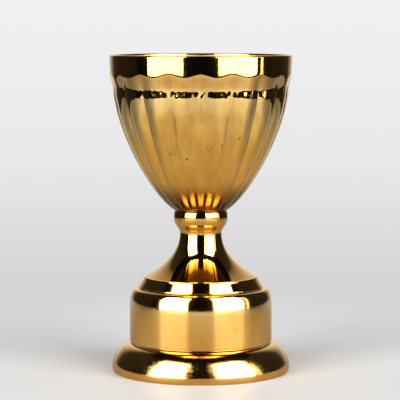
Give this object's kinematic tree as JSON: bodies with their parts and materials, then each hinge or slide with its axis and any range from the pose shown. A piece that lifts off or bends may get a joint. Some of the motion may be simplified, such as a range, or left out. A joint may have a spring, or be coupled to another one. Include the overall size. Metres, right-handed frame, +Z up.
{
  "type": "cup trophy",
  "caption": "Small gold presentation cup: fluted open bowl on a knopped stem and a round stepped base, clamped by a tie rod.",
  "frame": {"origin": "on the cup's axis, in the plane its foot stands on", "axes": "+Z up along the cup's axis; -Y is the front, where a valley between two lobes faces the viewer; +X to the viewer's right"},
  "size_m": [0.07, 0.07, 0.1212],
  "materials": {
    "gold_shell": "vacuum-metallised gold, mirror bright, fine grain and small wear marks",
    "zinc_steel": "zinc plated",
    "cast_weight": "as cast, dull",
    "felt": "pressed wool felt, dark green"
  },
  "bodies": {
    "root": {"bowl": "gold_shell", "stem": "gold_shell", "drum": "gold_shell", "foot_ring": "gold_shell", "base_weight": "cast_weight", "bowl_washer": "zinc_steel", "bowl_nut": "zinc_steel", "base_washer": "zinc_steel", "base_nut": "zinc_steel", "base_pad": "felt", "tie_rod": "zinc_steel"}
  },
  "joints": []
}
